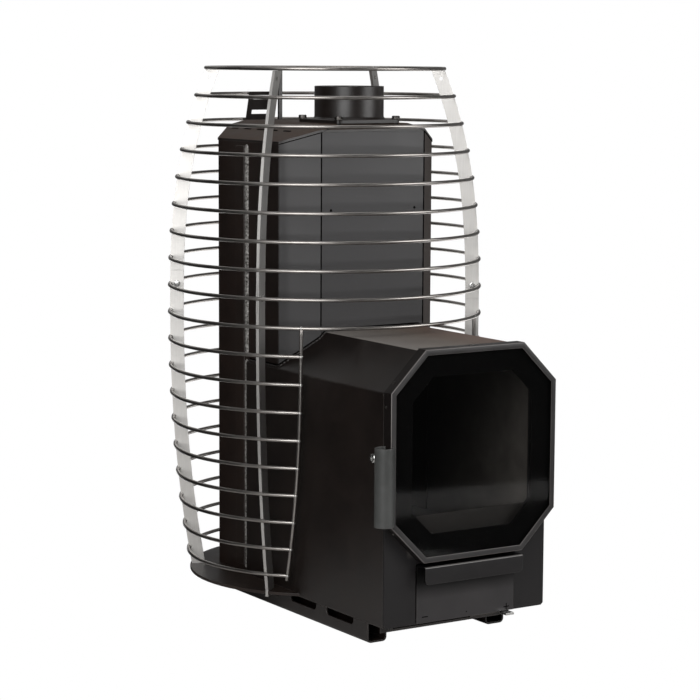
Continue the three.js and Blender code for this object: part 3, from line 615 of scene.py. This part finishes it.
def flueShells(steps=192):
    # a profile with a fillet and an eased rim, turned; and rows that go from the bore's circle to a square
    outer, inner, low, top = flue["outer"], flue["inner"], flue["flangeTop"], flue["top"]
    pipe = [(outer + 3.6, low - 0.4), (outer + 3.2, low + 0.5), (outer + 1.9, low + 1.5),
            (outer + 0.8, low + 2.9), (outer, low + 4.4), (outer, top - 0.9), (outer - 0.3, top - 0.25),
            (outer - 0.9, top), (inner + 0.9, top), (inner + 0.3, top - 0.25), (inner, top - 0.9),
            (inner, flue["bottom"] + 0.2)]
    turn = fullTurn(steps)
    # a square with eased corners: x and y are powers of cosine and sine
    power = 2 / flue["cornerPower"]
    square = np.stack([signedPower(np.cos(turn), power), signedPower(np.sin(turn), power)], 1)
    circle = np.stack([np.cos(turn), np.sin(turn)], 1)
    half, bottom = flue["flangeHalf"], flue["bottom"]
    rows = [(circle * (inner + 1), bottom), (circle * (inner + 1), low - 0.3), (square * (half - 0.7), low),
            (square * half, low - 0.7), (square * half, bottom + 0.4), (square * (half - 0.4), bottom)]
    plate = np.stack([np.concatenate([flat + flue["centre"], np.full((steps, 1), z)], 1) for flat, z in rows])
    flange = plate.reshape(-1, 3), gridQuads(len(rows), steps, True, True)
    return revolvedShell(pipe, 128, flue["centre"]), flange


makePiece("flue_collar_turned", joined(*flueShells()), bodyPaint, "stove", ("flue_collar",),
          sharp=40)
print("flue collar made")


# door: a folded frame, its hinge leaves and a rolled handle
door = dict(half=156.5, bottom=133.0, top=465.0, chamfer=63.0, front=-443.6, depth=21.3, sheet=3.0, lip=9.0,
            lipSheet=2.0, bend=1.8)
hinge = dict(x=161.5, y=-412.0, knuckle=6.0, bore=3.3, length=20.0, levels=(228.3, 373.3), arm=(155.5, 159.5),
             armFront=-432.3)
handle = dict(x=-168.8, y=-443.9, radius=15.3, sheet=2.5, bottom=198.7, length=122.0, sweep=310.0)
chamferShare = 2 - math.sqrt(2)  # an inset shortens a 45 degree corner by this share of itself


def doorCorners(inset):
    # a rectangle with its corners cut at 45 degrees, drawn in evenly by the inset
    half, low, high = door["half"] - inset, door["bottom"] + inset, door["top"] - inset
    leg = door["chamfer"] - inset * chamferShare
    return np.array([(-half + leg, low), (half - leg, low), (half, low + leg), (half, high - leg),
                     (half - leg, high), (-half + leg, high), (-half, high - leg), (-half, low + leg)])


def doorFrameShell():
    # a folded section, given as (inset, depth), carried round the door's eight corners
    bend, lip, thin = door["bend"], door["lip"], door["lipSheet"]
    quarter = np.radians(np.linspace(0, 90, 7))
    outer = np.stack([bend - bend * np.cos(quarter), bend - bend * np.sin(quarter)], 1)
    section = [(0.5, door["depth"]), (0.0, door["depth"] - 0.5), *outer, (lip - 0.6, 0.0), (lip - 0.15, 0.2),
               (lip, 0.7), (lip, thin), (door["sheet"], thin), (door["sheet"], door["depth"])]
    rows = []
    for inset, depth in section:
        corners = doorCorners(inset)
        rows.append(np.stack([corners[:, 0], np.full(len(corners), door["front"] + depth), corners[:, 1]], 1))
    return np.concatenate(rows), gridQuads(len(section), len(corners), True, True)


# grey on its front; lighter on its bends, partly rubbed and partly a painted highlight; a painted shade on
# its sides, as dark as the tunnel
rubHighlightStart, rubHighlightEnd, sideShadeStart, sideShadeEnd = [cageAxis[1] + (door["front"] + depth) * mm
                                        for depth in (0.05, 0.3, 0.8, 1.6)]
framePaint = tinted(doorPaint, "#7d7876", ("Y", rubHighlightStart, rubHighlightEnd, 0.62))
framePaint = tinted(framePaint, "#242222", change("X", "hingeSide", 0.6))  # darker towards the hinge side
framePaint = tinted(framePaint, "#120e0d", ("Y", sideShadeStart, sideShadeEnd, 1.0), shine=0.3)
makePiece("door_frame_folded", joined(doorFrameShell()), framePaint, "door", ("door_frame",),
          sharp=30)

leaves = []
for level in hinge["levels"]:
    top = level + hinge["length"]
    r, bore = hinge["knuckle"], hinge["bore"]
    knuckle = [(bore, level), (r - 0.5, level), (r, level + 0.5), (r, top - 0.5), (r - 0.5, top), (bore, top)]
    leaves.append(revolvedShell(knuckle, 40, (hinge["x"], hinge["y"])))
    leaves.append(boxShell((hinge["arm"][0], hinge["armFront"], level), (hinge["arm"][1], hinge["y"], top)))
makePiece("door_hinge_leaves", joined(*leaves), bodyPaint, "door", sharp=35, bevel=0.4)


def handleShell(steps=56):
    # a sheet rolled to part of a circle: the outer arc and the inner arc, carried up
    turn = -np.radians(np.linspace(0, handle["sweep"], steps))
    arc = np.stack([np.cos(turn), np.sin(turn)], 1)
    centre = np.array([handle["x"], handle["y"]])
    outer, inner = centre + handle["radius"] * arc, centre + (handle["radius"] - handle["sheet"]) * arc
    edge = np.concatenate([outer, inner[::-1]])
    low, high = handle["bottom"], handle["bottom"] + handle["length"]
    rows = np.stack([np.concatenate([edge, np.full((2 * steps, 1), z)], 1) for z in (low, high)])
    faces = [list(q) for q in gridQuads(2, 2 * steps, False, True)]
    i = np.arange(steps - 1)
    cap = np.stack([i, i + 1, 2 * steps - 2 - i, 2 * steps - 1 - i], 1)
    faces += cap[:, ::-1].tolist() + (cap + 2 * steps).tolist()
    return rows.reshape(-1, 3), faces


makePiece("door_handle_rolled", joined(handleShell()), handlePaint, "door", ("door_handle",),
          sharp=40, bevel=0.6)
sheetCopy("glass_retainer", [boreSoot], "door", 0.4)
print("door made")


# screws in the door frame's edge, two on each upright, one on each corner and one at the top and the bottom
doorScrew = dict(depth=14.4, radius=2.4, height=1.3, slot=1.1,
                 places=((-156.5, 379.7, 180), (-156.5, 218.3, 180), (156.5, 379.7, 0), (156.5, 218.3, 0),
                         (-142.4, 416.1, 135), (142.4, 416.1, 45), (-142.4, 181.9, 225), (142.4, 181.9, 315),
                         (0.0, 465.0, 90), (0.0, 133.0, 270)))


def screwShell(x, z, degrees, sides=28):
    # a low domed head: rows of circles, the last sunk as a socket
    turn = fullTurn(sides)
    out = np.array([math.cos(math.radians(degrees)), 0.0, math.sin(math.radians(degrees))])
    side = np.array([-out[2], 0.0, out[0]])
    ring = np.cos(turn)[:, None] * side + np.sin(turn)[:, None] * np.array([0.0, 1.0, 0.0])
    centre = np.array([x, door["front"] + doorScrew["depth"], z])
    r, high, slot = doorScrew["radius"], doorScrew["height"], doorScrew["slot"]
    rows = ((r, -0.3), (r, high * 0.4), (r * 0.88, high * 0.8), (slot * 1.15, high), (slot, high * 0.9),
            (slot, high * 0.2))
    return cappedShell([centre + size * ring + up * out for size, up in rows])


screws = [screwShell(*place) for place in doorScrew["places"]]
makePiece("door_frame_screws", joined(*screws), dullZinc, "door", sharp=40)


# painted sheet parts keep their CAD surfaces, with eased edges; these places, in metres, tell which of their
# faces have another finish and which of their edges are folds
tunnelAt = dict(innerHalf=0.1525, middle=0.25, floor=0.036, top=0.45, foldLength=0.2, foldLow=0.39,
                foldHalf=0.1534, foldTop=0.4618)
lipAt = dict(behind=-0.44, foldBehind=-0.446, foldLow=0.1265)  # y from the cage's axis, z from the floor
tabBehind = -0.421  # the damper's tab ends here, from the cage's axis
foldBend = 2.6  # outer radius of a fold, in millimetres


def fireRoomFace(centre, normal):
    # the tunnel's inner faces look towards a line along the middle of the fire room
    towards = np.array([-centre[0], 0.0, tunnelAt["middle"] - centre[2]])
    inside = abs(centre[0]) < tunnelAt["innerHalf"] and centre[2] > tunnelAt["floor"]
    if inside and abs(normal[1]) < 0.5 and float(towards @ normal) > 0.02:
        return 1
    return 2 if normal[2] > 0.9 and centre[2] > tunnelAt["top"] else 0


def tunnelFold(a, b):
    # the long outer folds between the tunnel's walls, corners and top
    long = abs(a[1] - b[1]) > tunnelAt["foldLength"] and min(a[2], b[2]) > tunnelAt["foldLow"]
    return long and (abs(a[0]) > tunnelAt["foldHalf"] or a[2] > tunnelAt["foldTop"])


def lipFold(a, b):
    # the fold at the top of the drawer's lip
    return max(a[1], b[1]) < cageAxis[1] + lipAt["foldBehind"] and min(a[2], b[2]) > lipAt["foldLow"]


def lipFace(centre, normal):
    # 1 on the lip's front, 2 on its fold, which takes the painted highlight
    if centre[1] > cageAxis[1] + lipAt["behind"]:
        return 0
    return 1 if normal[1] < -0.99 else 2 if normal[1] < -0.05 and normal[2] > 0.05 else 0


def eaveFace(centre, normal):
    # 1 on the roof cap's edges, 0 on its slopes
    return int(normal[2] < 0.35)


def damperFace(centre, normal):
    # 1 on the edges under the tunnel, 0 on the tab
    return int(abs(normal[2]) < 0.5 and centre[1] > cageAxis[1] + tabBehind)


painted = {"skid_left": bodyPaint, "skid_right": bodyPaint, "base_plate": basePaint, "rear_shell": rearPaint,
           "front_shell": frontPaint, "front_plate": platePaint, "rear_plate": bodyPaint,
           "baffle_plate": boreSoot}
for node, material in painted.items():
    sheetCopy(node, [material], "stove", 0.7)
sheetCopy("roof_cap", [roofPaint, bodyPaint], "stove", 0.7, inner=eaveFace)
sheetCopy("tunnel_shell", [bodyPaint, fireboxSteel, dustAndSheenPaint], "stove", 0.5,
          inner=fireRoomFace, bend=foldBend, folds=tunnelFold)
sheetCopy("hearth_plate", [fireboxSteel], "stove", 0.5)
sheetCopy("grate", [castGrate], "stove", 0.8)
sheetCopy("ash_drawer", [drawerPaint, lipPaint, foldHighlightPaint], "drawer", 0.5, inner=lipFace,
          bend=foldBend, folds=lipFold)
sheetCopy("damper_slide", [zincSteel, dullZinc], "damper", 0.4, inner=damperFace)
for node in ("hinge_pin_lower", "hinge_pin_upper"):
    sheetCopy(node, [zincSteel], "stove", 0.3)
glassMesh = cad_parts["door_glass"].data
glassMesh.materials.clear()
glassMesh.materials.append(glassBlack)


# a dark strip behind the damper's rails: painted shade that shuts the view of the bright floor under the
# tunnel
shadeStrip = dict(low=(-137.0, -387.2, 16.5), high=(90.0, -384.2, 26.2))
makePiece("damper_shade_strip", joined(boxShell(shadeStrip["low"], shadeStrip["high"])), bodyPaint, "stove",
          sharp=30, bevel=0.5)
print("sheet parts made")


# weld seam down each side of the tower, where the front half meets the rear one
seam = dict(x=150.0, middle=4.4, half=5.5, low=43.0, high=763.0, step=1.5, gap=(404.0, 409.0), height=2.0,
            ripple=7.5, swell=0.6, stray=0.7, sway=0.8, taper=5.0, sunk=0.6, proud=0.05, columns=11, seed=7)


def seamShell(side, low, high):
    # across the bead its height is 1 - t^2; along it the width and height swell once each ripple
    z = np.arange(low, high, seam["step"])
    random = np.random.default_rng(seam["seed"] + (side > 0))
    wander = np.convolve(random.normal(0, 1, len(z) + 8), np.ones(9) / 9, "valid")
    swell = np.abs(np.sin(np.pi * z / seam["ripple"] + 0.8 * wander))
    taper = np.clip(np.minimum(z - low, high - z) / seam["taper"], 0.25, 1)
    half = (seam["half"] + seam["swell"] * swell + seam["stray"] * wander) * taper
    t = np.linspace(-1, 1, seam["columns"])
    y = seam["middle"] + seam["sway"] * wander[:, None] + half[:, None] * t
    rise = (seam["height"] * (0.55 + 0.6 * swell) * taper)[:, None] * (1 - t ** 2)
    back = np.full_like(y, seam["x"] - seam["sunk"])
    levels = np.repeat(z[:, None], seam["columns"], 1)
    front = np.stack([side * (seam["x"] + seam["proud"] + rise), y, levels], -1)
    rear = np.stack([side * back, y, levels], -1)
    return cappedShell(np.concatenate([front, rear[:, ::-1]], 1))


for sideName, side in (("left", -1), ("right", 1)):
    parts = [seamShell(side, seam["low"], seam["gap"][0]), seamShell(side, seam["gap"][1], seam["high"])]
    makePiece(f"tower_seam_weld_{sideName}", joined(*parts), weldGrey, "stove", sharp=50)


# weld bead where the fire tunnel meets the tower, with a dark tube over it as painted shade in its undercut
joint = dict(path=((-151, -8, 402), (-151, -96, 402), (-149.5, -101.5, 403.5), (-101.5, -150.5, 451.5),
                   (-90.5, -151, 462.5), (90.5, -151, 462.5), (101.5, -150.5, 451.5), (149.5, -101.5, 403.5),
                   (151, -96, 402), (151, -8, 402)),
             step=2.0, radius=2.3, wave=0.5, ripple=7.0, drift=23.0, undercut=1.1, above=3.4,
             across=(0.3, 0.5, 0.81))


def alongLines(corners, step):
    # points every step along a line through the corners
    corners = np.asarray(corners, float)
    lengths = np.concatenate([[0], np.cumsum(np.linalg.norm(np.diff(corners, axis=0), axis=1))])
    spots = np.linspace(0, lengths[-1], int(lengths[-1] / step) + 1)
    return np.stack([np.interp(spots, lengths, corners[:, k]) for k in range(3)], 1), spots


path, spots = alongLines(joint["path"], joint["step"])
ripples = np.sin(2 * np.pi * spots / joint["ripple"])
swelling = joint["radius"] + joint["wave"] * ripples * np.sin(spots / joint["drift"])
makePiece("tunnel_joint_weld", joined(tubeShell(path, swelling, joint["across"], 10)), bodyPaint, "stove",
          sharp=60)
undercut = tubeShell(path + (0, 0, joint["above"]), joint["undercut"], joint["across"], 8)
makePiece("tunnel_joint_undercut_shade", joined(undercut), darkMarkAndShade, "stove", sharp=60)


# dark tubes as painted shade in the joints left open at the tower's front corners and under the roof's front
# edge
groove = dict(radius=1.1, step=4.0, across=(0.36, 0.9, 0.25),
              lines=(((-100, -150, 466), (-100, -150, 785)), ((100, -150, 466), (100, -150, 785)),
                     ((-150, -100, 765.4), (-100, -150, 785.4), (-80, -150, 793.4), (80, -150, 793.4),
                      (100, -150, 785.4), (150, -100, 765.4))))
lines = [tubeShell(alongLines(line, groove["step"])[0], groove["radius"], groove["across"], 8)
         for line in groove["lines"]]
makePiece("tower_front_joint_shade", joined(*lines), darkMarkAndShade, "stove", sharp=60)


# roof: tabs of the inner stays show as five short dashes on each slope
dash = dict(x=112.8, first=108.0, pitch=43.0, count=5, length=24.0, width=3.4, rise=0.5, sunk=0.6, eave=770.0,
            half=150.0, slope=0.4)


def dashShell(side, y, sides=40):
    # a long low pad: its outline is a power curve, its top is slightly crowned
    turn = fullTurn(sides)
    outline = np.stack([signedPower(np.cos(turn), 0.5) * dash["width"] / 2,
                        signedPower(np.sin(turn), 0.35) * dash["length"] / 2], 1)
    rise = dash["rise"]
    rows = []
    for size, up in ((1.0, -dash["sunk"]), (1.0, rise * 0.6), (0.9, rise), (0.4, rise * 1.1)):
        x = side * (dash["x"] + size * outline[:, 0])
        z = dash["eave"] + (dash["half"] - np.abs(x)) * dash["slope"] + up
        rows.append(np.stack([x, y + size * outline[:, 1], z], 1))
    return cappedShell(rows)


tabs = [dashShell(side, dash["first"] - dash["pitch"] * i) for side in (-1, 1) for i in range(dash["count"])]
makePiece("roof_stay_tabs", joined(*tabs), darkMarkAndShade, "stove", sharp=40)


# small dark plug welds, low domes on the front shell
plug = dict(x=81.5, y=-150.0, z=659.0, radius=2.3, height=0.9)


def plugShell(x, sides=28):
    # half an ellipsoid: circles of radius r cos(a) at the heights h sin(a)
    turn = fullTurn(sides)
    lift = np.radians(np.array([-20, 0, 25, 50, 75]))
    rows = [np.stack([x + plug["radius"] * np.cos(a) * np.cos(turn),
                      np.full(sides, plug["y"] - plug["height"] * np.sin(a)),
                      plug["z"] + plug["radius"] * np.cos(a) * np.sin(turn)], 1) for a in lift]
    return cappedShell(rows)


plugs = [plugShell(side * plug["x"]) for side in (-1, 1)]
makePiece("front_plug_welds", joined(*plugs), darkMarkAndShade, "stove", sharp=60)


# air marks cut in the drawer's face: less, more and a middle dot
airMark = dict(y=-423.5, proud=0.12, sunk=0.5, less=(-78.0, 43.0), more=(79.0, 39.8), dot=(1.0, 41.5),
               length=11.0, line=1.5, dotSize=1.95)


def markShell(x, z, wide, tall):
    # a thin box set in the drawer's face
    low = (x - wide / 2, airMark["y"] - airMark["proud"], z - tall / 2)
    return boxShell(low, (x + wide / 2, airMark["y"] + airMark["sunk"], z + tall / 2))


marks = [markShell(*airMark["less"], airMark["length"], airMark["line"]),
         markShell(*airMark["more"], airMark["length"], airMark["line"]),
         markShell(*airMark["more"], airMark["line"], airMark["length"]),
         markShell(*airMark["dot"], airMark["dotSize"], airMark["dotSize"])]
makePiece("drawer_air_marks", joined(*marks), darkMarkAndShade, "drawer", sharp=40)
print("small parts made")


# studio: two tall softboxes ahead of the stove, fills to the right, behind and above, a pale floor and a
# white surround; the sheen panels lie on the floor and are only mirrored, which shows the dark sides' shape
softboxes = [dict(name="softboxLeft", azimuth=-50, distance=2.6, height=1.45, wide=1.7, tall=2.0, power=62),
             dict(name="softboxRight", azimuth=36, distance=2.6, height=1.45, wide=1.5, tall=2.0, power=46),
             dict(name="fillRight", azimuth=100, distance=2.6, height=1.2, wide=2.2, tall=2.2, power=1.8),
             dict(name="fillRear", azimuth=150, distance=2.6, height=1.2, wide=2.0, tall=2.2, power=4),
             dict(name="fillRearLeft", azimuth=190, distance=2.8, height=2.1, wide=1.6, tall=1.2, power=3),
             dict(name="fillRearHigh", azimuth=168, distance=2.4, height=2.4, wide=1.4, tall=0.9, power=3),
             dict(name="sheenRear", azimuth=164.5, distance=1.87, height=0.01, wide=1.2, tall=2.4, power=18,
                  sheen=True),
             dict(name="sheenRight", azimuth=101, distance=1.05, height=0.01, wide=1.0, tall=1.0, power=9,
                  sheen=True),
             dict(name="fillTop", azimuth=180, distance=0.4, height=2.7, wide=2.0, tall=2.0, power=14)]
target = Vector((0.0, -0.05, 0.5))
for box in softboxes:
    angle = math.radians(box["azimuth"])
    spot = Vector((math.sin(angle) * box["distance"], -math.cos(angle) * box["distance"], box["height"]))
    data = bpy.data.lights.new(box["name"], "AREA")
    data.shape = "RECTANGLE"
    data.size, data.size_y = box["wide"], box["tall"]
    data.energy = box["power"]
    lamp = bpy.data.objects.new(box["name"], data)
    bpy.context.scene.collection.objects.link(lamp)
    if box.get("sheen"):
        aim = Vector((0.0, 0.0, 1.0))
    elif box["distance"] > 1:
        aim = Vector((target.x, target.y, box["height"])) - spot  # level
    else:
        aim = target - spot  # down from above
    lamp.matrix_world = Matrix.Translation(spot) @ aim.to_track_quat("-Z", "Y").to_matrix().to_4x4()
    lamp.visible_camera = False
    lamp.visible_diffuse = not box.get("sheen")

# the stage, in metres: discs as (radius, centre), and a board that is mirrored low in the door's glass
stage = dict(surround=20.0, floor=19.0, floorLevel=-0.002, plinthLevel=-0.001, plinth=(0.7, (-0.2, -0.45)),
             plinthRear=(0.5, (0.45, 1.05)),
             board=((0.30, -1.20), (0.95, -1.20), (1.15, -1.34), (0.45, -1.43)), worldLight=0.025)
world = bpy.data.worlds.new("dimStudio")
world.use_nodes = True
background = world.node_tree.nodes["Background"]
background.inputs["Color"].default_value = linear("#ffffff")
background.inputs["Strength"].default_value = stage["worldLight"]
bpy.context.scene.world = world
bpy.context.scene.view_settings.view_transform = "Standard"


def stageMesh(name, shell, material, toCamera):
    points, faces = shell
    mesh = bpy.data.meshes.new(name)
    mesh.from_pydata(np.asarray(points, float).tolist(), [], [list(map(int, f)) for f in faces])
    mesh.materials.append(material)
    mesh.shade_smooth()
    piece = bpy.data.objects.new(name, mesh)
    bpy.context.scene.collection.objects.link(piece)
    piece.visible_camera = toCamera
    for way in ("diffuse", "glossy", "transmission", "volume_scatter", "shadow"):
        setattr(piece, "visible_" + way, not toCamera)


def domeShell(radius, rows=24, columns=48):
    # a sphere's rows from 30 degrees under the floor to its top
    lift = np.radians(np.linspace(-30, 89.5, rows))[:, None]
    turn = fullTurn(columns)[None]
    points = radius * np.stack([np.cos(lift) * np.cos(turn), np.cos(lift) * np.sin(turn),
                                np.sin(lift) * np.ones_like(turn)], -1)
    return points.reshape(-1, 3), gridQuads(rows, columns, False, True)


def discShell(radius, z, centre=(0.0, 0.0), columns=64):
    # one flat face round a circle
    turn = fullTurn(columns)
    x, y = centre[0] + radius * np.cos(turn), centre[1] + radius * np.sin(turn)
    return np.stack([x, y, np.full(columns, z)], 1), [list(range(columns))]


whiteGlow = newMaterial("whiteSurround", Roughness=1.0, Base_Color=linear("#000000"), Specular_IOR_Level=0.0,
                        Emission_Color=linear("#ffffff"), Emission_Strength=1.0)[0]
stageMesh("whiteSurround", domeShell(stage["surround"]), whiteGlow, True)
stageMesh("paleFloor", discShell(stage["floor"], stage["floorLevel"]), whiteGlow, True)
plinthWhite = newMaterial("palePlinth", Roughness=0.8, Base_Color=linear("#e6e4e2"))[0]
for name, (radius, centre) in (("palePlinth", stage["plinth"]), ("palePlinthRear", stage["plinthRear"])):
    stageMesh(name, discShell(radius, stage["plinthLevel"], centre), plinthWhite, False)
board = [(x, y, stage["plinthLevel"]) for x, y in stage["board"]]
stageMesh("paleBoard", (board, [[0, 1, 2, 3]]), plinthWhite, False)
print("studio made")
